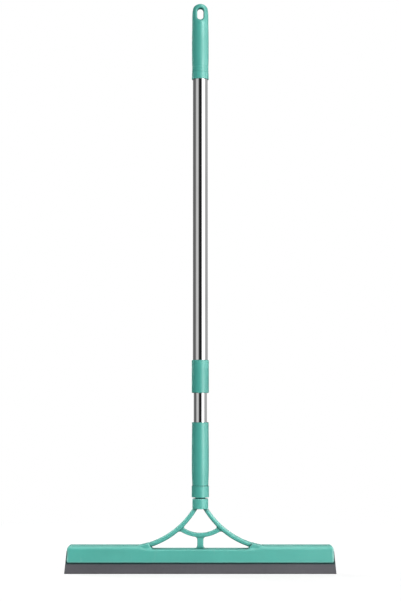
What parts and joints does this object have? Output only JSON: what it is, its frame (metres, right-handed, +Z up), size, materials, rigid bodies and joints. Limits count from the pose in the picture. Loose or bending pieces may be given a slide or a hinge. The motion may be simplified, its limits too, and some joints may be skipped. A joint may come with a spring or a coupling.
{
  "type": "floor squeegee",
  "caption": "Floor squeegee: rubber blades clamped in a plastic bar with a wishbone frame, on a telescopic steel handle that screws in and locks by twisting.",
  "frame": {"origin": "on the floor, under the middle of the two blades", "axes": "+Z up the handle, X along the blades, the front of the bar toward -Y"},
  "size_m": [0.45, 0.0286, 0.957],
  "materials": {
    "mint_plastic": "satin",
    "polished_tube": "polished",
    "blade_rubber": "matte",
    "lock_plastic": "matte",
    "screw_steel": "satin"
  },
  "bodies": {
    "head": {"handle_frame": "mint_plastic", "front_cover": "mint_plastic", "rear_cover": "mint_plastic", "front_blade": "blade_rubber", "rear_blade": "blade_rubber", "clamp_screws": "screw_steel"},
    "ring": {"neck_ring": "mint_plastic"},
    "lower_handle": {"thread_tip": "mint_plastic", "tip_pins": "screw_steel", "lower_sleeve": "mint_plastic", "inner_tube": "polished_tube", "lock_plug": "lock_plastic", "lock_plug_pins": "screw_steel", "spindle_clip": "screw_steel"},
    "lock_sleeve": {"expander": "lock_plastic"},
    "lock_cone": {"cone_nut": "lock_plastic"},
    "upper_handle": {"outer_tube": "polished_tube", "guide_bush": "lock_plastic", "collar": "mint_plastic", "top_grip": "mint_plastic"}
  },
  "joints": [
    {"name": "handle_rise", "type": "slide", "parent": "head", "child": "ring", "axis": [0, 0, 1], "range_m": [0, 0.015]},
    {"name": "handle_turn", "type": "hinge", "parent": "ring", "child": "lower_handle", "pos_m": [0, 0, 0.115], "axis": [0, 0, 1], "range_deg": [0, 1080]},
    {"name": "lock_twist", "type": "hinge", "parent": "lower_handle", "child": "lock_sleeve", "pos_m": [0, 0, 0.79], "axis": [0, 0, 1], "range_deg": [0, 180]},
    {"name": "cone_travel", "type": "slide", "parent": "lock_sleeve", "child": "lock_cone", "axis": [0, 0, 1], "range_m": [0, 0.002]},
    {"name": "telescope", "type": "slide", "parent": "lock_sleeve", "child": "upper_handle", "axis": [0, 0, 1], "range_m": [-0.047, 0.4]}
  ],
  "couplings": [
    {"joint": "handle_turn", "follows": "handle_rise", "rad_per_m": 1256.6},
    {"joint": "lock_twist", "follows": "cone_travel", "rad_per_m": 1570.8}
  ]
}
